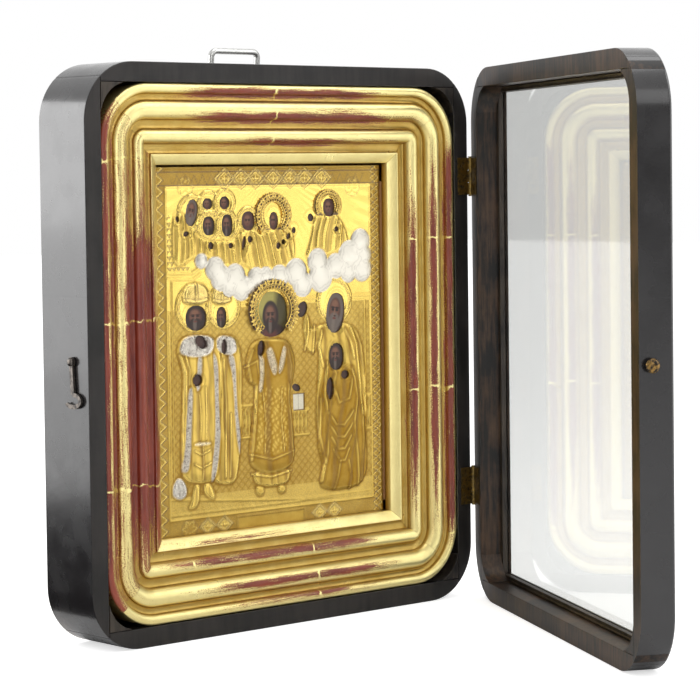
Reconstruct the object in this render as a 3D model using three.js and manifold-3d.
// A household icon in a glazed wooden case with rounded corners.
// Millimetres. Z is up, X runs to the right, the front faces -Y.
// The origin is the middle of the case's flat underside.

import * as THREE from 'three';
import { mergeVertices } from 'three/addons/utils/BufferGeometryUtils.js';
import loadManifold from 'manifold-3d';

const wasm = await loadManifold();
wasm.setup();
const { Manifold } = wasm;

// Clearances and cutting
const seat = 0.3;
const overrun = 2;
const weldTolerance = 1e-4;

// Icon: a panel with two sliding battens behind the moulding. The sight is a little smaller than it
const iconWidth = 256;
const iconHeight = 308.2;
const iconThickness = 22;
const iconDepthBehindFront = 25.6;
const iconOffset = -3.5;
const iconDrop = 3.5;
const sightLapAcross = 3.2;
const sightLapUp = 3.4;
const battenWidth = 30;
const battenDovetail = 3;
const battenDepth = 7;
const battenProud = 4;
const battenInset = 62;
const stripWidth = 20;
const stripTongue = 8;
const stripTongueThickness = 4.4;
const stripInset = 14;

// Case, sawn with its door from one box
const spaceBehindIcon = 8.4;
const wallThickness = 16.4;
const outerRadius = 48;
const innerRadius = 28;
const backThickness = 6;
const backRebate = 8.4;

// Gilded moulding: its members from the wall inwards, each with its width, the depth behind the
// front plane at which it starts and ends, and how far it swells out of (or sinks below) that line
const outerRib = { width: 8.2, start: 3.0, end: 3.4, rise: 3.0 };
const outerCove = { width: 6.1, start: 4.8, end: 4.8, rise: -1.8 };
const broadRib = { width: 14.8, start: 5.6, end: 7.6, rise: 5.2 };
const middleCove = { width: 8.0, start: 9.0, end: 9.0, rise: -2.0 };
const innerRib = { width: 11.4, start: 9.6, end: 11.6, rise: 4.9 };
const innerCove = { width: 8.6, start: 13.2, end: 13.2, rise: -1.8 };
const sightLip = { width: 8.65, start: 11.8, end: 17.0, rise: 0.6 };
const mouldingRadius = 48;
const mouldingRear = 23.6;
const mitreGap = 0.3;

// Embossed metal cover over the panel
const coverThickness = 0.9;
const reliefLow = 0.5;
const reliefMiddle = 1.2;
const reliefHigh = 2.2;
const reliefTop = 3.0;
const reliefRound = 0.5;
const borderDiamond = 6.2;
const borderTooth = 4.2;
const haloThickness = 1.0;
const postRadius = 0.9;

// Door
const doorThickness = 28;
const doorGap = 1;
const doorEase = 2.5;
const glassLip = 5.1;
const glassLipThickness = 2;
const glassThickness = 2;
const beadWidth = 4.6;
const beadDepth = 4.4;
const doorOpenAngle = THREE.MathUtils.degToRad(62.5);

// Hinges
const leafLength = 33;
const leafWidth = 12.3;
const leafThickness = 1.2;
const leafRunning = 0.15;
const knuckleRadius = 2.4;
const knuckleCount = 3;
const pinRadius = 1.1;
const pinHeadRadius = 1.9;
const pinHeadHeight = 0.9;
const upperHingeFromTop = 95;
const lowerHingeFromBase = 98.5;

// Countersunk screws
const screwHeadRadius = 2.2;
const screwHeadHeight = 1.1;
const screwShankRadius = 1.05;
const screwLength = 9;
const screwTip = 2;
const screwSlot = 0.5;
const screwInset = 6;
const screwSpread = 9.8;

// Latch
const latchHeight = 232.4;
const latchFromFront = 20.4;
const hookThickness = 2;
const hookStandoff = 0.8;
const hookEyeRadius = 4;
const hookShankWidth = 4.2;
const hookReach = 30.7;
const hookLead = 1.9;
const hookOuterWidth = 11.4;
const hookOuterHeight = 6.6;
const hookBar = 3.4;
const pivotShankRadius = 1.5;
const pivotHeadRadius = 3.4;
const pivotHeadHeight = 1.8;
const pivotLength = 11;
const studHeadRadius = 5.6;
const studHeadHeight = 3.4;
const studNeckRadius = 2.1;
const studNeckLength = 4.2;
const studLength = 12;

// Hanger
const bailWidth = 50.3;
const bailHeight = 28.9;
const bailCornerRadius = 5;
const bailWireRadius = 2.65;
const bailOffset = -4.5;
const bailPivotFromTop = 15;
const strapWidth = 22;
const strapSheet = 1.2;
const strapHeight = 23;
const strapScrewFromFoot = 6;
const strapScrewSpread = 6;
const strapScrewLength = 7;

// Facets
const ribSteps = 7;
const coveSteps = 4;
const lipSteps = 3;
const arcSteps = 4;
const ringSteps = 12;
const wireSteps = 10;
const bendSteps = 4;
const pierceSides = 6;
const openingSides = 9;
const domeSteps = 8;

// The moulding's members in order, each with its number of facets
const mouldingMembers = [
  { ...outerRib, steps: ribSteps },
  { ...outerCove, steps: coveSteps },
  { ...broadRib, steps: ribSteps },
  { ...middleCove, steps: coveSteps },
  { ...innerRib, steps: ribSteps },
  { ...innerCove, steps: coveSteps },
  { ...sightLip, steps: lipSteps },
];

// Places worked out from the sizes above
const mouldingWidth = mouldingMembers.reduce((sum, { width }) => sum + width, 0);
const frameWidth = wallThickness + seat + mitreGap / 2 + mouldingWidth;
const caseWidth = iconWidth - sightLapAcross + 2 * frameWidth;
const caseHeight = iconHeight - sightLapUp + 2 * frameWidth;
const caseDepth = iconDepthBehindFront + iconThickness + spaceBehindIcon + backThickness;
const halfWidth = caseWidth / 2;
const frontPlane = -caseDepth / 2;
const backPlane = caseDepth / 2;
const innerHalfWidth = halfWidth - wallThickness;
const innerTop = caseHeight - wallThickness;
const doorInnerPlane = frontPlane - doorGap;
const hingeAxisX = halfWidth + knuckleRadius + seat;
const hingeAxisY = frontPlane - doorGap / 2;
const hingeHeights = { lower: lowerHingeFromBase, upper: caseHeight - upperHingeFromTop };
const leafReach = leafRunning + leafThickness;
const iconFront = frontPlane + iconDepthBehindFront;
const iconBack = iconFront + iconThickness;
const iconLeft = iconOffset - iconWidth / 2;
const iconRight = iconOffset + iconWidth / 2;
const iconBottom = (caseHeight - iconHeight) / 2 - iconDrop;
const coverFront = iconFront - coverThickness;
const mouldingRearPlane = frontPlane + mouldingRear;
const pivotY = frontPlane + latchFromFront;
const studY = pivotY - hookReach;
const studZ = latchHeight + hookLead;
const strapThickness = 2 * strapSheet;
const bailY = backPlane + strapSheet + seat + bailWireRadius;
const bailPivotZ = caseHeight - bailPivotFromTop;

// Finishes
const lacquer = finish('#1d1b1c', 0.25, 0);
const bareWood = finish('#8a6238', 0.8, 0);
const oldWood = finish('#6b4a2c', 0.85, 0);
const gilding = finish('#d9b45a', 0.35, 0.9);
const giltMetal = finish('#d8b848', 0.35, 1);
const brass = finish('#9c7b3c', 0.4, 1);
const steel = finish('#a9a9a6', 0.35, 1);
const paintedBoard = finish('#4a2c1e', 0.6, 0);
const clearGlass = finish('#dfe8e6', 0.05, 0);

function finish(color, roughness, metalness) {
  return new THREE.MeshStandardMaterial({ color, roughness, metalness });
}

// A closed geometry as a solid for cutting and joining
function solid(geometry) {
  const bare = geometry.clone();
  bare.deleteAttribute('normal');
  bare.deleteAttribute('uv');
  const merged = mergeVertices(bare, weldTolerance);
  const corners = merged.index.array;
  const kept = [];
  for (let i = 0; i < corners.length; i += 3) {
    const [a, b, c] = [corners[i], corners[i + 1], corners[i + 2]];
    if (a !== b && b !== c && c !== a) kept.push(a, b, c);
  }
  const vertProperties = new Float32Array(merged.attributes.position.array);
  const body = new Manifold(new wasm.Mesh({ numProp: 3, vertProperties, triVerts: new Uint32Array(kept) }));
  if (body.volume() > 0) return body;
  return new Manifold(new wasm.Mesh({ numProp: 3, vertProperties, triVerts: new Uint32Array(kept.reverse()) }));
}

function geometryOf(body) {
  const mesh = body.getMesh();
  const geometry = new THREE.BufferGeometry();
  geometry.setAttribute('position', new THREE.BufferAttribute(new Float32Array(mesh.vertProperties), 3));
  geometry.setIndex(new THREE.BufferAttribute(new Uint32Array(mesh.triVerts), 1));
  return geometry;
}

function piece(name, body, material) {
  const geometry = body.isBufferGeometry ? body : geometryOf(body);
  const mesh = new THREE.Mesh(geometry, material);
  mesh.name = name;
  return mesh;
}

// Basic bodies, each given by its two extreme corners or its axis
function block(x0, x1, y0, y1, z0, z1) {
  return Manifold.cube([x1 - x0, y1 - y0, z1 - z0]).translate([x0, y0, z0]);
}

function rodX(x0, x1, y, z, radius) {
  const rod = Manifold.cylinder(x1 - x0, radius, radius, ringSteps).rotate([0, 90, 0]);
  return rod.translate([x0, y, z]);
}

function rodY(x, y0, y1, z, startRadius, endRadius = startRadius) {
  const rod = Manifold.cylinder(y1 - y0, startRadius, endRadius, ringSteps).rotate([-90, 0, 0]);
  return rod.translate([x, y0, z]);
}

function rodZ(x, y, z0, z1, radius) {
  return Manifold.cylinder(z1 - z0, radius, radius, ringSteps).translate([x, y, z0]);
}

// Outlines drawn in front view, X across and Z up
function roundedRectangle(left, right, bottom, top, radius) {
  const shape = new THREE.Shape();
  shape.moveTo(left + radius, bottom);
  shape.absarc(right - radius, bottom + radius, radius, -Math.PI / 2, 0);
  shape.absarc(right - radius, top - radius, radius, 0, Math.PI / 2);
  shape.absarc(left + radius, top - radius, radius, Math.PI / 2, Math.PI);
  shape.absarc(left + radius, bottom + radius, radius, Math.PI, 1.5 * Math.PI);
  return shape;
}

function caseOutline(inset) {
  const radius = outerRadius - inset;
  return roundedRectangle(inset - halfWidth, halfWidth - inset, inset, caseHeight - inset, radius);
}

// A front-view outline given thickness, from its back face forwards
function slab(shape, back, depth) {
  const geometry = new THREE.ExtrudeGeometry(shape, { depth, bevelEnabled: false, curveSegments: arcSteps });
  geometry.rotateX(Math.PI / 2);
  geometry.translate(0, back, 0);
  return solid(geometry);
}

// A side-view outline, Y across and Z up, drawn out along X
function bar(shape, start, length) {
  const options = { depth: length, bevelEnabled: false, curveSegments: arcSteps };
  const geometry = new THREE.ExtrudeGeometry(shape, options);
  geometry.applyMatrix4(new THREE.Matrix4().set(0, 0, 1, start, 1, 0, 0, 0, 0, 1, 0, 0, 0, 0, 0, 1));
  return solid(geometry);
}

// A body through a row of equal rings of points, capped at both ends or joined round to its start
function loft(rings, section, closed) {
  const count = section.length;
  const positions = rings.flat().flatMap((point) => point.toArray());
  const index = [];
  const spans = closed ? rings.length : rings.length - 1;
  for (let ring = 0; ring < spans; ring += 1) {
    const next = (ring + 1) % rings.length;
    for (let i = 0; i < count; i += 1) {
      const j = (i + 1) % count;
      const corners = [ring * count + i, ring * count + j, next * count + j, next * count + i];
      index.push(corners[0], corners[1], corners[2], corners[0], corners[2], corners[3]);
    }
  }
  if (!closed) {
    const last = (rings.length - 1) * count;
    for (const [a, b, c] of THREE.ShapeUtils.triangulateShape(section, [])) {
      index.push(a, c, b, last + a, last + b, last + c);
    }
  }
  const geometry = new THREE.BufferGeometry();
  geometry.setAttribute('position', new THREE.Float32BufferAttribute(positions, 3));
  geometry.setIndex(index);
  return solid(geometry);
}

// Case

function hingeMortise(side, rim, height) {
  const depth = leafReach - doorGap / 2 + seat;
  const [y0, y1] = side > 0 ? [rim - overrun, rim + depth] : [rim - depth, rim + overrun];
  const reach = leafLength / 2 + seat;
  const left = halfWidth - leafWidth - seat;
  return block(left, halfWidth + overrun, y0, y1, height - reach, height + reach);
}

function hingePilots(side, rim, height) {
  const depth = screwLength + overrun;
  const [y0, y1] = side > 0 ? [rim, rim + depth] : [rim - depth, rim];
  const holes = [-screwSpread, screwSpread].map((offset) => (
    rodY(halfWidth - screwInset, y0, y1, height + offset, screwShankRadius + seat)));
  return Manifold.union(holes);
}

function caseWalls() {
  const rebate = slab(caseOutline(wallThickness - backRebate), backPlane + overrun, backThickness + overrun);
  const box = slab(caseOutline(0), backPlane, caseDepth).subtract(rebate);
  const [front, back] = [frontPlane - overrun, backPlane + overrun];
  const [low, high] = [-overrun, caseHeight + overrun];
  const beyond = halfWidth + overrun;
  const pivotHole = rodX(-beyond, pivotLength + seat - halfWidth, pivotY, latchHeight, pivotShankRadius + seat);
  const left = box.intersect(block(-beyond, -innerHalfWidth, front, back, low, high)).subtract(pivotHole);
  let right = box.intersect(block(innerHalfWidth, beyond, front, back, low, high));
  for (const height of Object.values(hingeHeights)) {
    right = right.subtract(hingeMortise(1, frontPlane, height));
    right = right.subtract(hingePilots(1, frontPlane, height));
  }
  const top = box.intersect(block(-innerHalfWidth, innerHalfWidth, front, back, innerTop, high));
  const bottom = box.intersect(block(-innerHalfWidth, innerHalfWidth, front, back, low, wallThickness));
  return [
    piece('case_left_side', left, lacquer),
    piece('case_right_side', right, lacquer),
    piece('case_top_board', top, lacquer),
    piece('case_bottom_board', bottom, lacquer),
  ];
}

// A concave glue block that rounds one inner corner, drawn about the centre of its arc
function cornerFillet(depth) {
  const cut = THREE.MathUtils.degToRad(12);
  const reach = innerRadius - seat;
  const shape = new THREE.Shape();
  shape.absarc(0, 0, innerRadius, cut, Math.PI / 2 - cut);
  shape.lineTo(innerRadius * Math.sin(cut), reach);
  shape.lineTo(reach, reach);
  shape.lineTo(reach, innerRadius * Math.sin(cut));
  shape.closePath();
  return geometryOf(slab(shape, depth, depth));
}

function cornerFillets(prefix, front, depth) {
  const geometry = cornerFillet(depth);
  const middle = caseHeight / 2;
  const across = innerHalfWidth - innerRadius;
  const up = innerTop - middle - innerRadius;
  const corners = [
    ['top_right', across, up, 0],
    ['bottom_right', across, -up, 1],
    ['bottom_left', -across, -up, 2],
    ['top_left', -across, up, 3],
  ];
  return corners.map(([corner, x, z, turns]) => {
    const mesh = piece(`${prefix}_corner_fillet_${corner}`, geometry.clone(), lacquer);
    mesh.rotation.y = turns * Math.PI / 2;
    mesh.position.set(x, front, middle + z);
    return mesh;
  });
}

function backBoard() {
  const board = slab(caseOutline(wallThickness - backRebate + seat), backPlane, backThickness);
  const holes = hangerScrewPlaces().map(([x, z]) => (
    rodY(x, backPlane - backThickness - overrun, backPlane + overrun, z, screwShankRadius + seat)));
  return piece('back_board', board.subtract(Manifold.union(holes)), bareWood);
}

// Gilded moulding

// One member of the moulding: a half-round rib where rise is positive, a hollow where it is negative
function memberPoints(offset, { width, start, end, rise, steps }) {
  const points = [];
  for (let i = 0; i <= steps; i += 1) {
    const angle = Math.PI * i / steps;
    const along = (1 - Math.cos(angle)) / 2;
    const depth = start + (end - start) * along - rise * Math.sin(angle);
    points.push(new THREE.Vector2(offset + width * along, depth));
  }
  return points;
}

// The moulding's section: X is the distance in from the wall, Y the depth behind the front plane
function mouldingSection() {
  const points = [new THREE.Vector2(0, mouldingRear)];
  let offset = 0;
  for (const member of mouldingMembers) {
    points.push(...memberPoints(offset, member));
    offset += member.width;
  }
  points.push(new THREE.Vector2(offset, mouldingRear));
  return points;
}

// Half the corner at each end of a length, from the mitre to where the straight begins: each point of
// the section keeps its distance from the wall, so the bends tighten inwards and end as plain mitres
function mouldingLength(halfLong, halfShort) {
  const section = mouldingSection();
  const rings = [];
  for (const side of [-1, 1]) {
    for (let step = 0; step <= bendSteps; step += 1) {
      const share = side < 0 ? 1 - step / bendSteps : step / bendSteps;
      const angle = Math.PI / 4 * share;
      rings.push(section.map(({ x: inset, y: depth }) => {
        const radius = mouldingRadius - inset;
        const bend = Math.max(radius, 0);
        const centre = Math.max(inset, mouldingRadius);
        const across = halfLong - centre + bend * Math.sin(angle);
        const up = halfShort - centre + bend * Math.cos(angle);
        return new THREE.Vector3(side * across, depth, up);
      }));
    }
  }
  return loft(rings, section, false);
}

function giltMoulding() {
  const clearance = seat + mitreGap / 2;
  const halfAcross = innerHalfWidth - clearance;
  const halfUp = caseHeight / 2 - wallThickness - clearance;
  const lengths = [
    ['top', halfAcross, halfUp, 0],
    ['right', halfUp, halfAcross, 1],
    ['bottom', halfAcross, halfUp, 2],
    ['left', halfUp, halfAcross, 3],
  ];
  return lengths.map(([side, halfLong, halfShort, turns]) => {
    const mesh = piece(`gilt_moulding_${side}`, mouldingLength(halfLong, halfShort), gilding);
    const turn = turns * Math.PI / 2;
    mesh.rotation.y = turn;
    const out = mitreGap / 2;
    mesh.position.set(out * Math.sin(turn), frontPlane, caseHeight / 2 + out * Math.cos(turn));
    return mesh;
  });
}

// Icon panel

// Dovetail section in side view, its wide side inside the panel
function dovetail(height, clearance, proud) {
  const narrow = battenWidth / 2 + clearance;
  const wide = narrow + battenDovetail;
  const inner = iconBack - battenDepth - clearance;
  const shape = new THREE.Shape();
  shape.moveTo(inner, height - wide);
  shape.lineTo(iconBack, height - narrow);
  shape.lineTo(iconBack + proud, height - narrow);
  shape.lineTo(iconBack + proud, height + narrow);
  shape.lineTo(iconBack, height + narrow);
  shape.lineTo(inner, height + wide);
  shape.closePath();
  return shape;
}

function iconPanel() {
  const batten = { upper: iconBottom + iconHeight - battenInset, lower: iconBottom + battenInset };
  const inset = stripTongue + 2 * seat;
  let board = block(iconLeft, iconRight, iconFront, iconBack, iconBottom, iconBottom + iconHeight);
  const pieces = [];
  for (const [place, height] of Object.entries(batten)) {
    board = board.subtract(bar(dovetail(height, seat, overrun), iconLeft - overrun, iconWidth + 2 * overrun));
    const body = bar(dovetail(height, 0, battenProud), iconLeft + inset, iconWidth - 2 * inset);
    pieces.push(piece(`icon_batten_${place}`, body, oldWood));
  }
  return [piece('icon_board', board, paintedBoard), ...pieces];
}

// L-shaped strips behind the moulding that hold the panel's long edges
function retainingStrips() {
  const bottom = iconBottom + stripInset;
  const length = iconHeight - 2 * stripInset;
  const tongueFront = iconBack + seat;
  const back = tongueFront + stripTongueThickness;
  return [['left', iconLeft, -1], ['right', iconRight, 1]].map(([side, edge, out]) => {
    const shape = new THREE.Shape();
    shape.moveTo(out * seat, mouldingRearPlane);
    shape.lineTo(out * stripWidth, mouldingRearPlane);
    shape.lineTo(out * stripWidth, back);
    shape.lineTo(-out * stripTongue, back);
    shape.lineTo(-out * stripTongue, tongueFront);
    shape.lineTo(out * seat, tongueFront);
    shape.closePath();
    const strip = new THREE.ExtrudeGeometry(shape, { depth: length, bevelEnabled: false });
    const mesh = piece(`icon_retaining_strip_${side}`, solid(strip), bareWood);
    mesh.position.set(edge, 0, bottom);
    return mesh;
  });
}

// Embossed cover. Its places and outlines are shares of its width and height, from its lower left
// corner, and radii are shares of its width.

const borderShares = { outer: 0.034, inner: 0.078, topInner: 0.052, bottomInner: 0.058, ridge: 0.006 };
const topDiamondShares = [0.321, 0.391, 0.452, 0.528, 0.601, 0.664, 0.739];
const bottomDiamondShares = [0.231, 0.301, 0.712, 0.777];
const diamondRowShares = { top: 0.968, bottom: 0.034 };
const cartoucheShares = [0.355, 0.645, 0.012, 0.052];
const toothRowShares = { left: 0.058, right: 0.976, from: 0.1, to: 0.9 };
const toothCount = 19;

// Round halos in the sheet: across, up, radius
const haloShares = [
  [0.184, 0.878, 0.054],
  [0.320, 0.903, 0.040],
  [0.253, 0.842, 0.045],
  [0.330, 0.842, 0.043],
  [0.419, 0.852, 0.042],
  [0.190, 0.624, 0.074],
  [0.303, 0.622, 0.066],
  [0.788, 0.622, 0.074],
  [0.795, 0.468, 0.056],
];

// Openings over the painted faces and hands: across, up, half width, half height, lean in degrees
const openingShares = [
  [0.184, 0.878, 0.024, 0.036, -12],
  [0.250, 0.901, 0.020, 0.016, 0],
  [0.320, 0.903, 0.020, 0.018, 0],
  [0.253, 0.842, 0.024, 0.026, 0],
  [0.330, 0.842, 0.023, 0.030, 0],
  [0.419, 0.852, 0.024, 0.026, 0],
  [0.528, 0.850, 0.024, 0.032, 0],
  [0.771, 0.884, 0.025, 0.026, 0],
  [0.195, 0.596, 0.042, 0.034, 0],
  [0.300, 0.594, 0.021, 0.030, 0],
  [0.512, 0.581, 0.036, 0.048, 0],
  [0.795, 0.588, 0.036, 0.052, -8],
  [0.795, 0.465, 0.032, 0.038, 0],
  [0.124, 0.861, 0.007, 0.009, 0],
  [0.159, 0.822, 0.012, 0.008, 15],
  [0.261, 0.789, 0.011, 0.011, 0],
  [0.343, 0.787, 0.010, 0.008, 0],
  [0.398, 0.793, 0.007, 0.020, 10],
  [0.425, 0.802, 0.011, 0.010, 0],
  [0.590, 0.812, 0.008, 0.010, 20],
  [0.612, 0.826, 0.009, 0.010, 0],
  [0.545, 0.789, 0.010, 0.010, 20],
  [0.566, 0.792, 0.008, 0.008, 0],
  [0.689, 0.857, 0.012, 0.012, -20],
  [0.802, 0.823, 0.011, 0.008, 0],
  [0.213, 0.530, 0.026, 0.016, 35],
  [0.308, 0.514, 0.012, 0.021, 0],
  [0.196, 0.429, 0.019, 0.016, -30],
  [0.464, 0.503, 0.014, 0.022, 10],
  [0.616, 0.387, 0.018, 0.009, 20],
  [0.647, 0.603, 0.020, 0.024, 30],
  [0.832, 0.413, 0.018, 0.012, 0],
  [0.764, 0.377, 0.015, 0.031, 0],
];
const bookShares = [0.601, 0.653, 0.325, 0.372];

// Silvered cloud: across, up, radius of each puff
const puffShares = [
  [0.220, 0.748, 0.024], [0.276, 0.726, 0.034], [0.301, 0.700, 0.037], [0.359, 0.702, 0.037],
  [0.384, 0.672, 0.037], [0.449, 0.696, 0.031], [0.548, 0.697, 0.034], [0.621, 0.707, 0.040],
  [0.648, 0.673, 0.037], [0.716, 0.735, 0.037], [0.729, 0.691, 0.044], [0.798, 0.720, 0.037],
  [0.861, 0.748, 0.044], [0.900, 0.786, 0.034], [0.905, 0.712, 0.034],
];

// Robes as outlines, each with its relief and its folds: pairs of top and bottom points
const robeShares = [
  {
    relief: 'middle',
    outline: [[0.102, 0.869], [0.101, 0.722], [0.213, 0.750], [0.616, 0.725], [0.600, 0.830], [0.450, 0.812], [0.250, 0.800]],
    folds: [[0.160, 0.800, 0.150, 0.740], [0.290, 0.790, 0.300, 0.745], [0.370, 0.780, 0.380, 0.735],
      [0.450, 0.800, 0.470, 0.728], [0.520, 0.800, 0.540, 0.728], [0.580, 0.800, 0.590, 0.735]],
  },
  {
    relief: 'middle',
    outline: [[0.704, 0.852], [0.680, 0.770], [0.655, 0.722], [0.861, 0.760], [0.827, 0.845], [0.771, 0.856]],
    folds: [[0.740, 0.840, 0.720, 0.765], [0.790, 0.840, 0.810, 0.775]],
  },
  {
    relief: 'high',
    outline: [[0.122, 0.512], [0.135, 0.429], [0.120, 0.185], [0.151, 0.154], [0.251, 0.147], [0.290, 0.186],
      [0.285, 0.430], [0.274, 0.517], [0.190, 0.545]],
    folds: [[0.170, 0.490, 0.150, 0.190], [0.215, 0.410, 0.215, 0.290], [0.245, 0.480, 0.270, 0.190]],
  },
  {
    relief: 'middle',
    outline: [[0.292, 0.500], [0.295, 0.200], [0.251, 0.147], [0.347, 0.135], [0.372, 0.201], [0.378, 0.304],
      [0.357, 0.500], [0.310, 0.540]],
    folds: [[0.320, 0.480, 0.310, 0.170], [0.345, 0.480, 0.355, 0.170]],
  },
  {
    relief: 'top',
    outline: [[0.432, 0.522], [0.398, 0.458], [0.412, 0.410], [0.438, 0.400], [0.426, 0.318], [0.404, 0.190],
      [0.444, 0.164], [0.500, 0.156], [0.562, 0.162], [0.601, 0.190], [0.594, 0.291], [0.576, 0.368], [0.598, 0.405],
      [0.597, 0.460], [0.572, 0.522], [0.500, 0.530]],
    folds: [[0.455, 0.400, 0.440, 0.185], [0.550, 0.400, 0.565, 0.185], [0.420, 0.490, 0.425, 0.420],
      [0.500, 0.500, 0.500, 0.420]],
  },
  {
    relief: 'low',
    outline: [[0.418, 0.170], [0.431, 0.129], [0.575, 0.123], [0.589, 0.170]],
    folds: [[0.460, 0.155, 0.460, 0.132], [0.540, 0.155, 0.545, 0.132]],
  },
  {
    relief: 'middle',
    outline: [[0.720, 0.545], [0.704, 0.450], [0.700, 0.320], [0.720, 0.227], [0.925, 0.227], [0.915, 0.488],
      [0.872, 0.545], [0.790, 0.560]],
    folds: [[0.735, 0.520, 0.725, 0.440], [0.880, 0.520, 0.895, 0.330]],
  },
  {
    relief: 'high',
    outline: [[0.747, 0.450], [0.716, 0.356], [0.704, 0.216], [0.731, 0.167], [0.706, 0.104], [0.778, 0.088],
      [0.885, 0.094], [0.920, 0.140], [0.912, 0.315], [0.871, 0.440], [0.800, 0.452]],
    folds: [[0.770, 0.320, 0.800, 0.240], [0.845, 0.320, 0.815, 0.240], [0.760, 0.260, 0.800, 0.170],
      [0.860, 0.260, 0.815, 0.170], [0.730, 0.330, 0.730, 0.220], [0.890, 0.380, 0.895, 0.130]],
  },
];

// Silvered bands on the two bishops' robes, crowns, boots and rocks, each an outline in the sheet
const trimShares = [
  [[0.115, 0.512], [0.140, 0.552], [0.260, 0.548], [0.262, 0.516]],
  [[0.270, 0.516], [0.280, 0.548], [0.352, 0.540], [0.354, 0.512]],
  [[0.154, 0.412], [0.176, 0.411], [0.166, 0.245], [0.161, 0.190], [0.125, 0.190], [0.137, 0.245]],
  [[0.262, 0.505], [0.280, 0.476], [0.281, 0.268], [0.255, 0.155], [0.240, 0.160], [0.262, 0.270]],
  [[0.330, 0.505], [0.354, 0.505], [0.358, 0.355], [0.372, 0.263], [0.365, 0.205], [0.345, 0.289]],
  [[0.145, 0.636], [0.145, 0.664], [0.160, 0.678], [0.194, 0.681], [0.225, 0.677], [0.241, 0.661], [0.241, 0.636]],
  [[0.268, 0.632], [0.268, 0.658], [0.284, 0.673], [0.318, 0.672], [0.336, 0.655], [0.338, 0.634]],
  [[0.436, 0.122], [0.440, 0.098], [0.455, 0.092], [0.470, 0.100], [0.468, 0.124]],
  [[0.528, 0.120], [0.532, 0.098], [0.548, 0.092], [0.564, 0.100], [0.560, 0.122]],
  [[0.095, 0.112], [0.090, 0.140], [0.108, 0.166], [0.128, 0.166], [0.146, 0.140], [0.140, 0.112]],
];

// Architecture behind the figures: left, right, bottom, top
const ledgeShares = [
  [0.085, 0.182, 0.703, 0.719],
  [0.378, 0.423, 0.628, 0.640],
  [0.621, 0.715, 0.628, 0.640],
  [0.873, 0.950, 0.628, 0.640],
  [0.378, 0.412, 0.336, 0.346],
  [0.378, 0.412, 0.268, 0.276],
  [0.602, 0.664, 0.268, 0.276],
  [0.926, 0.947, 0.100, 0.628],
  [0.085, 0.098, 0.120, 0.690],
];

// Applied openwork halos: centre, half width and half height, inner share, where they start and
// end in degrees, the number of pierced leaves, and the relief that they stand over
const appliedHaloShares = {
  central: {
    across: 0.517, up: 0.607, halfWidth: 0.108, halfHeight: 0.087, inner: 0.66,
    from: -52, to: 232, leaves: 14, over: 'high',
  },
  upper: {
    across: 0.524, up: 0.866, halfWidth: 0.079, halfHeight: 0.064, inner: 0.58,
    from: -55, to: 235, leaves: 12, over: 'middle',
  },
  right: {
    across: 0.764, up: 0.889, halfWidth: 0.061, halfHeight: 0.047, inner: 0.6,
    from: -35, to: 215, leaves: 10, over: 'middle',
  },
};

const reliefs = { low: reliefLow, middle: reliefMiddle, high: reliefHigh, top: reliefTop };

function onCover([across, up]) {
  return new THREE.Vector2(across * iconWidth, up * iconHeight);
}

// Raised work on the sheet, drawn flat with its height along Z
function raised(shape, relief) {
  const round = Math.min(reliefRound, relief / 2);
  const geometry = new THREE.ExtrudeGeometry(shape, {
    depth: coverThickness + relief - round,
    bevelSize: round,
    bevelOffset: -round,
    bevelThickness: round,
    bevelSegments: 1,
    curveSegments: arcSteps,
  });
  const body = solid(geometry);
  return body.trimByPlane([0, 0, 1], 0);
}

function raisedOutline(shares, relief) {
  return raised(new THREE.Shape(shares.map(onCover)), relief);
}

function raisedPanel([left, right, bottom, top], relief) {
  return raisedOutline([[left, bottom], [right, bottom], [right, top], [left, top]], relief);
}

// A fold: a long tapered ridge lying on a robe
function fold([across0, up0, across1, up1], relief) {
  const from = onCover([across0, up0]);
  const to = onCover([across1, up1]);
  const side = to.clone().sub(from).normalize().rotateAround(new THREE.Vector2(), Math.PI / 2);
  const half = iconWidth * borderShares.ridge;
  const outline = [
    from,
    to.clone().addScaledVector(side, half),
    to.clone().addScaledVector(side, -half),
  ];
  return raised(new THREE.Shape(outline), relief + reliefLow);
}

function diamond([across, up], size, sides) {
  const centre = onCover([across, up]);
  const height = coverThickness + reliefMiddle;
  const pyramid = Manifold.cylinder(height, size, size / 2, sides);
  return pyramid.translate([centre.x, centre.y, 0]);
}

function borderWork() {
  const { outer, inner, topInner, bottomInner, ridge } = borderShares;
  const parts = [
    raisedPanel([inner, 1 - outer / 2, 1 - topInner - ridge, 1 - topInner], reliefLow),
    raisedPanel([inner, 1 - outer / 2, bottomInner, bottomInner + ridge], reliefLow),
    raisedPanel([inner, inner + ridge, bottomInner, 1 - topInner], reliefLow),
    raisedPanel([1 - inner / 1.6, 1 - inner / 1.6 + ridge, bottomInner, 1 - topInner], reliefLow),
    raisedPanel(cartoucheShares, reliefLow),
  ];
  for (const across of topDiamondShares) parts.push(diamond([across, diamondRowShares.top], borderDiamond, 4));
  for (const across of bottomDiamondShares) parts.push(diamond([across, diamondRowShares.bottom], borderTooth, 4));
  const { from, to } = toothRowShares;
  for (let i = 0; i < toothCount; i += 1) {
    const up = from + (to - from) * i / (toothCount - 1);
    parts.push(diamond([toothRowShares.left, up], borderTooth, 4));
    parts.push(diamond([toothRowShares.right, up], borderTooth, 4));
  }
  return parts;
}

function cloudWork() {
  return puffShares.map(([across, up, radius]) => {
    const centre = onCover([across, up]);
    const size = radius * iconWidth;
    const dome = Manifold.sphere(size, domeSteps).scale([1, 1, (coverThickness + reliefHigh) / size]);
    return dome.trimByPlane([0, 0, 1], 0).translate([centre.x, centre.y, 0]);
  });
}

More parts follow.
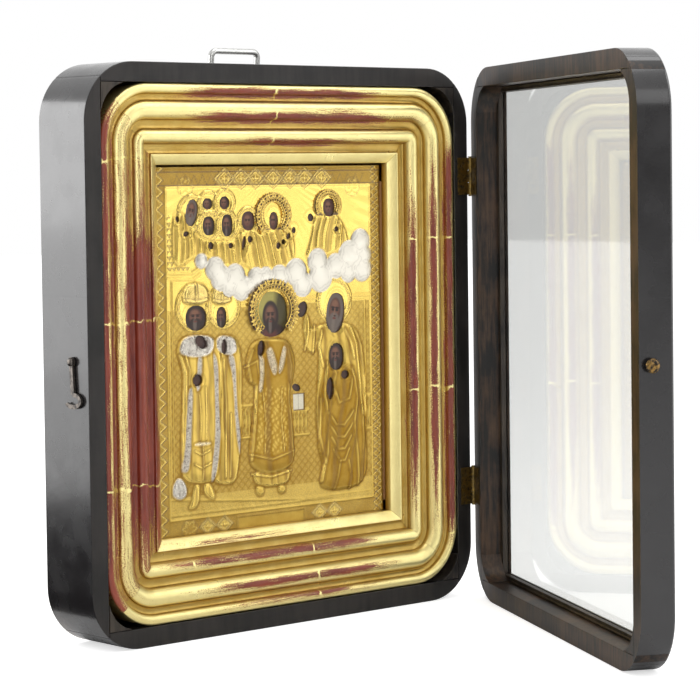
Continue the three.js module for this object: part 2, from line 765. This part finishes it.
function haloWork() {
  return haloShares.map(([across, up, radius]) => {
    const centre = onCover([across, up]);
    const disc = Manifold.cylinder(coverThickness + reliefLow, radius * iconWidth, radius * iconWidth, 2 * ringSteps);
    return disc.translate([centre.x, centre.y, 0]);
  });
}

function opening([across, up, halfAcross, halfUp, lean]) {
  const centre = onCover([across, up]);
  const reach = coverThickness + reliefTop + overrun;
  return Manifold.cylinder(2 * reach, 1, 1, openingSides, true)
    .scale([halfAcross * iconWidth, halfUp * iconHeight, 1])
    .rotate([0, 0, lean])
    .translate([centre.x, centre.y, 0]);
}

function okladCover() {
  const sheet = block(0, iconWidth, 0, iconHeight, 0, coverThickness);
  const robes = robeShares.flatMap(({ relief, outline, folds }) => [
    raisedOutline(outline, reliefs[relief]),
    ...folds.map((line) => fold(line, reliefs[relief])),
  ]);
  const trims = trimShares.map((outline) => raisedOutline(outline, reliefHigh + reliefLow));
  const ledges = ledgeShares.map((panel) => raisedPanel(panel, reliefLow));
  const posts = Object.values(appliedHaloShares).flatMap(haloPosts);
  const relief = Manifold.union([
    sheet,
    ...borderWork(),
    ...cloudWork(),
    ...haloWork(),
    ...ledges,
    ...robes,
    ...trims,
    ...posts,
  ]);
  const [left, right, bottom, top] = bookShares;
  const book = block(
    left * iconWidth,
    right * iconWidth,
    bottom * iconHeight,
    top * iconHeight,
    -overrun,
    coverThickness + reliefTop + overrun,
  );
  const pierced = relief.subtract(Manifold.union([...openingShares.map(opening), book]));
  const mesh = piece('oklad_cover', pierced, giltMetal);
  mesh.rotation.x = Math.PI / 2;
  mesh.position.set(iconLeft, iconFront, iconBottom);
  return mesh;
}

// A point of an applied halo, about its centre
function haloSpot({ halfWidth: halfWidthShare, halfHeight: halfHeightShare }, angle, share) {
  const across = halfWidthShare * iconWidth * share;
  const up = halfHeightShare * iconHeight * share;
  return new THREE.Vector2(across * Math.cos(angle), up * Math.sin(angle));
}

function haloLift({ over }) {
  return coverThickness + reliefs[over] + reliefLow;
}

// Small posts on the cover that carry an applied halo between leaves, at its ends and its crown
function haloPosts(place) {
  const centre = onCover([place.across, place.up]);
  return [1, place.leaves / 2, place.leaves - 1].map((leaf) => {
    const degrees = place.from + (place.to - place.from) * leaf / place.leaves;
    const spot = haloSpot(place, THREE.MathUtils.degToRad(degrees), (1 + place.inner) / 2).add(centre);
    return Manifold.cylinder(haloLift(place), postRadius, postRadius, openingSides).translate([spot.x, spot.y, 0]);
  });
}

// A band of pierced leaves round part of a halo, open at its foot
function appliedHalo(name, place) {
  const spot = (angle, share) => haloSpot(place, angle, share);
  const [from, to] = [place.from, place.to].map(THREE.MathUtils.degToRad);
  const leafAngle = (to - from) / place.leaves;
  const lobeShares = [0.9, 1, 1];
  const outline = [];
  for (let leaf = 0; leaf < place.leaves; leaf += 1) {
    lobeShares.forEach((share, i) => outline.push(spot(from + leafAngle * (leaf + i / lobeShares.length), share)));
  }
  for (let leaf = place.leaves; leaf >= 0; leaf -= 1) outline.push(spot(from + leafAngle * leaf, place.inner));
  const shape = new THREE.Shape(outline);
  const options = { depth: haloThickness, bevelEnabled: false };
  const band = solid(new THREE.ExtrudeGeometry(shape, options));
  const middle = (1 + place.inner) / 2;
  const pierce = place.halfWidth * iconWidth * (1 - place.inner) / 4;
  const holes = [];
  for (let leaf = 0; leaf < place.leaves; leaf += 1) {
    const { x, y } = spot(from + leafAngle * (leaf + 0.5), middle);
    holes.push(Manifold.cylinder(haloThickness + 2 * overrun, pierce, pierce, pierceSides).translate([x, y, -overrun]));
  }
  const mesh = piece(`applied_halo_${name}`, band.subtract(Manifold.union(holes)), giltMetal);
  const centre = onCover([place.across, place.up]);
  mesh.rotation.x = Math.PI / 2;
  mesh.position.set(iconLeft + centre.x, iconFront - haloLift(place), iconBottom + centre.y);
  return mesh;
}

// Fasteners, each turned about Z with its head's outer face at the top

function turned(profile) {
  const points = profile.map(([radius, height]) => new THREE.Vector2(radius, height));
  const geometry = new THREE.LatheGeometry(points, ringSteps);
  geometry.rotateX(Math.PI / 2);
  return solid(geometry);
}

function countersunkScrew(length) {
  const body = turned([
    [0, -length],
    [screwShankRadius, screwTip - length],
    [screwShankRadius, -screwHeadHeight],
    [screwHeadRadius, 0],
    [0, 0],
  ]);
  const half = screwHeadRadius + overrun;
  return body.subtract(block(-half, half, -screwSlot / 2, screwSlot / 2, -screwSlot, overrun));
}

// The countersink for such a screw, its mouth at height 0
function countersink(depth) {
  const radius = screwShankRadius + seat;
  const cone = Manifold.cylinder(screwHeadHeight + seat, radius, screwHeadRadius + seat, ringSteps);
  const hole = Manifold.cylinder(depth + overrun, radius, radius, ringSteps).translate([0, 0, -depth - overrun]);
  const mouth = Manifold.cylinder(overrun, screwHeadRadius + seat, screwHeadRadius + seat, ringSteps);
  return Manifold.union([cone.translate([0, 0, -screwHeadHeight - seat]), hole, mouth]);
}

function roundHeadPin(shank, neck, neckLength, head, headHeight, length) {
  const dome = [1, 2, 3].map((step) => {
    const angle = Math.PI / 2 * step / 4;
    return [head * Math.cos(angle), neckLength + headHeight * Math.sin(angle)];
  });
  return turned([
    [0, -length],
    [shank, screwTip - length],
    [shank, 0],
    [neck, 0],
    [neck, neckLength],
    [head, neckLength],
    ...dome,
    [0, neckLength + headHeight],
  ]);
}

// Hinges, drawn about their axis with the leaf lying towards -X. The case's leaf lies behind the
// axis (side 1) and carries the outer knuckles, the door's in front of it (side -1).

function hingeLeaf(side) {
  const edge = -(knuckleRadius + seat);
  const [near, far] = side > 0 ? [leafRunning, leafReach] : [-leafReach, -leafRunning];
  const pitch = leafLength / knuckleCount;
  const half = leafLength / 2;
  const own = (index) => (index % 2 === 0) === (side > 0);
  const parts = [block(edge - leafWidth, edge, near, far, -half, half)];
  for (let index = 0; index < knuckleCount; index += 1) {
    if (own(index)) {
      const low = -half + pitch * index + (index > 0 ? seat / 2 : 0);
      const high = -half + pitch * (index + 1) - (index < knuckleCount - 1 ? seat / 2 : 0);
      parts.push(block(edge - seat, 0, near, far, low, high));
      parts.push(rodZ(0, 0, low, high, knuckleRadius));
    }
  }
  let leaf = Manifold.union(parts);
  leaf = leaf.subtract(rodZ(0, 0, -half - overrun, half + overrun, pinRadius + seat));
  for (const offset of [-screwSpread, screwSpread]) {
    const sink = countersink(leafThickness).rotate([side * 90, 0, 0]);
    leaf = leaf.subtract(sink.translate([edge - screwInset, side * leafRunning, offset]));
  }
  return leaf;
}

function hingePin() {
  const half = leafLength / 2 + seat;
  return turned([
    [0, -half - pinHeadHeight],
    [pinHeadRadius, -half - pinHeadHeight],
    [pinHeadRadius, -half],
    [pinRadius, -half],
    [pinRadius, half],
    [pinHeadRadius, half],
    [pinHeadRadius, half + pinHeadHeight],
    [0, half + pinHeadHeight],
  ]);
}

// One side of a hinge with its two screws, placed about the hinge's axis
function hingeSide(owner, side, place, height) {
  const leaf = piece(`hinge_${owner}_leaf_${place}`, hingeLeaf(side), brass);
  leaf.position.z = height;
  const screws = [['lower', -screwSpread], ['upper', screwSpread]].map(([end, offset]) => {
    const screw = piece(`hinge_${owner}_screw_${place}_${end}`, countersunkScrew(screwLength), brass);
    screw.rotation.x = side * Math.PI / 2;
    screw.position.set(-(knuckleRadius + seat) - screwInset, side * leafRunning, height + offset);
    return screw;
  });
  return [leaf, ...screws];
}

function caseHinges() {
  const group = new THREE.Group();
  group.position.set(hingeAxisX, hingeAxisY, 0);
  for (const [place, height] of Object.entries(hingeHeights)) {
    const pin = piece(`hinge_pin_${place}`, hingePin(), brass);
    pin.position.z = height;
    group.add(...hingeSide('case', 1, place, height), pin);
  }
  return group;
}

// Latch

// The hook hangs from its eye at the origin, in side view with Y to the back
function latchHook() {
  const top = hookOuterHeight - hookReach;
  const centreY = -hookLead;
  const opening = -5 * Math.PI / 6;
  const curve = new THREE.Shape();
  curve.absellipse(centreY, -hookReach, hookOuterWidth, hookOuterHeight, opening, Math.PI, false);
  const ring = new THREE.Shape();
  const [innerWidth, innerHeight] = [hookOuterWidth - hookBar, hookOuterHeight - hookBar];
  ring.absellipse(centreY, -hookReach, hookOuterWidth, hookOuterHeight, Math.PI / 2, 2 * Math.PI - Math.PI / 6, false);
  ring.absellipse(centreY, -hookReach, innerWidth, innerHeight, 2 * Math.PI - Math.PI / 6, Math.PI / 2, true);
  ring.closePath();
  const half = hookShankWidth / 2;
  const shank = new THREE.Shape([
    new THREE.Vector2(-half, 0),
    new THREE.Vector2(centreY - half, top - hookBar / 2),
    new THREE.Vector2(centreY + half, top - hookBar / 2),
    new THREE.Vector2(half, 0),
  ]);
  const [start, length] = [-hookStandoff - hookThickness, hookThickness];
  const eye = rodX(start, start + length, 0, 0, hookEyeRadius);
  const hole = rodX(start - overrun, start + length + overrun, 0, 0, pivotShankRadius + seat);
  return Manifold.union([bar(ring, start, length), bar(shank, start, length), eye]).subtract(hole);
}

function latchOnCase() {
  const hook = piece('latch_hook', latchHook(), brass);
  hook.position.set(-halfWidth, pivotY, latchHeight);
  const neck = hookStandoff + hookThickness + seat;
  const screw = roundHeadPin(pivotShankRadius, pivotShankRadius, neck, pivotHeadRadius, pivotHeadHeight, pivotLength);
  const pivot = piece('latch_pivot_screw', screw, brass);
  pivot.rotation.y = -Math.PI / 2;
  pivot.position.copy(hook.position);
  return [hook, pivot];
}

// Hanger

function hangerScrewPlaces() {
  const foot = bailPivotZ - strapHeight;
  return [-strapScrewSpread, strapScrewSpread].map((offset) => [bailOffset + offset, foot + strapScrewFromFoot]);
}

// The bail leans forward until its wire rests against the case's top rear edge
function bailLean() {
  const back = bailY - backPlane;
  const up = bailPivotFromTop;
  return Math.atan2(back, up) - Math.asin((bailWireRadius + seat) / Math.hypot(back, up));
}

// A rectangular loop of round wire, standing on its lower bar at the origin
function hangingBail() {
  const [across, up] = [bailWidth / 2 - bailCornerRadius, bailHeight / 2 - bailCornerRadius];
  const centres = [[across, up], [-across, up], [-across, -up], [across, -up]];
  const section = [];
  for (let i = 0; i < wireSteps; i += 1) {
    const angle = 2 * Math.PI * i / wireSteps;
    section.push(new THREE.Vector2(Math.cos(angle), Math.sin(angle)).multiplyScalar(bailWireRadius));
  }
  const rings = centres.flatMap(([x, z], corner) => {
    const turns = [];
    for (let step = 0; step < bendSteps; step += 1) {
      const angle = Math.PI / 2 * (corner + step / (bendSteps - 1));
      const [c, s] = [Math.cos(angle), Math.sin(angle)];
      turns.push(section.map((point) => new THREE.Vector3(
        x + (bailCornerRadius + point.x) * c,
        point.y,
        z + (bailCornerRadius + point.x) * s + bailHeight / 2,
      )));
    }
    return turns;
  });
  return loft(rings, section, true);
}

function hangingStrap() {
  const outer = bailWireRadius + seat + strapSheet;
  const inner = bailWireRadius + seat;
  const [left, right] = [bailOffset - strapWidth / 2, bailOffset + strapWidth / 2];
  const loop = rodX(left, right, bailY, bailPivotZ, outer);
  const leaves = block(left, right, backPlane, backPlane + strapThickness, bailPivotZ - strapHeight, bailPivotZ);
  let strap = loop.add(leaves).subtract(rodX(left - overrun, right + overrun, bailY, bailPivotZ, inner));
  strap = strap.subtract(block(left - overrun, right + overrun, backPlane - overrun, backPlane, 0, caseHeight));
  for (const [x, z] of hangerScrewPlaces()) {
    const sink = countersink(strapThickness).rotate([-90, 0, 0]);
    strap = strap.subtract(sink.translate([x, backPlane + strapThickness, z]));
  }
  return strap;
}

function hanger() {
  const bail = piece('hanging_bail', hangingBail(), steel);
  bail.rotation.x = bailLean();
  bail.position.set(bailOffset, bailY, bailPivotZ);
  const strap = piece('hanging_strap', hangingStrap(), steel);
  const screws = hangerScrewPlaces().map(([x, z], i) => {
    const screw = piece(`hanging_strap_screw_${['left', 'right'][i]}`, countersunkScrew(strapScrewLength), steel);
    screw.rotation.x = -Math.PI / 2;
    screw.position.set(x, backPlane + strapThickness, z);
    return screw;
  });
  return [bail, strap, ...screws];
}

// Door, built shut in front of the case, then hung on the hinge axis and swung open

function doorBox() {
  const front = doorInnerPlane - doorThickness;
  const eased = new THREE.ExtrudeGeometry(caseOutline(doorEase), {
    depth: doorThickness,
    bevelSize: doorEase,
    bevelThickness: doorEase,
    bevelSegments: 2,
    curveSegments: arcSteps,
  });
  eased.rotateX(Math.PI / 2);
  eased.translate(0, front + doorThickness + doorEase, 0);
  const beyond = halfWidth + overrun;
  const body = solid(eased).intersect(block(-beyond, beyond, front, doorInnerPlane, -overrun, caseHeight + overrun));
  const inset = wallThickness + glassLip;
  const [side, back] = [halfWidth - inset, doorInnerPlane + overrun];
  const window = block(-side, side, front - overrun, back, inset, caseHeight - inset);
  const seatOfGlass = front + glassLipThickness;
  const rebate = block(-innerHalfWidth, innerHalfWidth, seatOfGlass, back, wallThickness, innerTop);
  return body.subtract(window).subtract(rebate);
}

function doorFrame() {
  const box = doorBox();
  const beyond = halfWidth + overrun;
  const [front, back] = [doorInnerPlane - doorThickness - overrun, doorInnerPlane + overrun];
  const [low, high] = [-overrun, caseHeight + overrun];
  const stile = halfWidth - wallThickness - glassLip;
  const rail = stile - seat;
  const studHole = rodX(-beyond, studLength + seat - halfWidth, studY, studZ, pivotShankRadius + seat);
  const free = box.intersect(block(-beyond, -stile, front, back, low, high)).subtract(studHole);
  let hinged = box.intersect(block(stile, beyond, front, back, low, high));
  for (const height of Object.values(hingeHeights)) {
    hinged = hinged.subtract(hingeMortise(-1, doorInnerPlane, height));
    hinged = hinged.subtract(hingePilots(-1, doorInnerPlane, height));
  }
  const top = box.intersect(block(-rail, rail, front, back, caseHeight / 2, high));
  const bottom = box.intersect(block(-rail, rail, front, back, low, caseHeight / 2));
  return [
    piece('door_free_stile', free, lacquer),
    piece('door_hinge_stile', hinged, lacquer),
    piece('door_top_rail', top, lacquer),
    piece('door_bottom_rail', bottom, lacquer),
  ];
}

function glazing() {
  const front = doorInnerPlane - doorThickness + glassLipThickness + seat;
  const back = front + glassThickness;
  const [side, low, high] = [innerHalfWidth - seat, wallThickness + seat, innerTop - seat];
  const pane = block(-side, side, front, back, low, high);
  const [beadFront, beadBack] = [back + seat, back + seat + beadDepth];
  const inner = side - beadWidth;
  const [beadLow, beadHigh] = [low + beadWidth + seat, high - beadWidth - seat];
  const beads = {
    top: block(-side, side, beadFront, beadBack, high - beadWidth, high),
    bottom: block(-side, side, beadFront, beadBack, low, low + beadWidth),
    free: block(-side, -inner, beadFront, beadBack, beadLow, beadHigh),
    hinge: block(inner, side, beadFront, beadBack, beadLow, beadHigh),
  };
  return [
    piece('door_glass', pane, clearGlass),
    ...Object.entries(beads).map(([place, body]) => piece(`glazing_bead_${place}`, body, lacquer)),
  ];
}

function latchStud() {
  const body = roundHeadPin(
    pivotShankRadius,
    studNeckRadius,
    studNeckLength,
    studHeadRadius,
    studHeadHeight,
    studLength,
  );
  const stud = piece('latch_stud', body, brass);
  stud.rotation.y = -Math.PI / 2;
  stud.position.set(-halfWidth, studY, studZ);
  return stud;
}

function door() {
  const filletDepth = doorThickness - glassLipThickness - glassThickness - beadDepth - 3 * seat;
  const shut = new THREE.Group();
  shut.add(
    ...doorFrame(),
    ...cornerFillets('door', doorInnerPlane - filletDepth, filletDepth),
    ...glazing(),
    latchStud(),
  );
  shut.position.set(-hingeAxisX, -hingeAxisY, 0);
  const swinging = new THREE.Group();
  swinging.add(shut);
  for (const [place, height] of Object.entries(hingeHeights)) {
    swinging.add(...hingeSide('door', -1, place, height));
  }
  swinging.position.set(hingeAxisX, hingeAxisY, 0);
  swinging.rotation.z = doorOpenAngle;
  return swinging;
}

const icon = new THREE.Group();
icon.add(
  ...caseWalls(),
  ...cornerFillets('case', frontPlane, caseDepth - backThickness - seat),
  backBoard(),
  ...giltMoulding(),
  ...iconPanel(),
  ...retainingStrips(),
  okladCover(),
  ...Object.entries(appliedHaloShares).map(([name, place]) => appliedHalo(name, place)),
  caseHinges(),
  ...latchOnCase(),
  ...hanger(),
  door(),
);

export default icon;
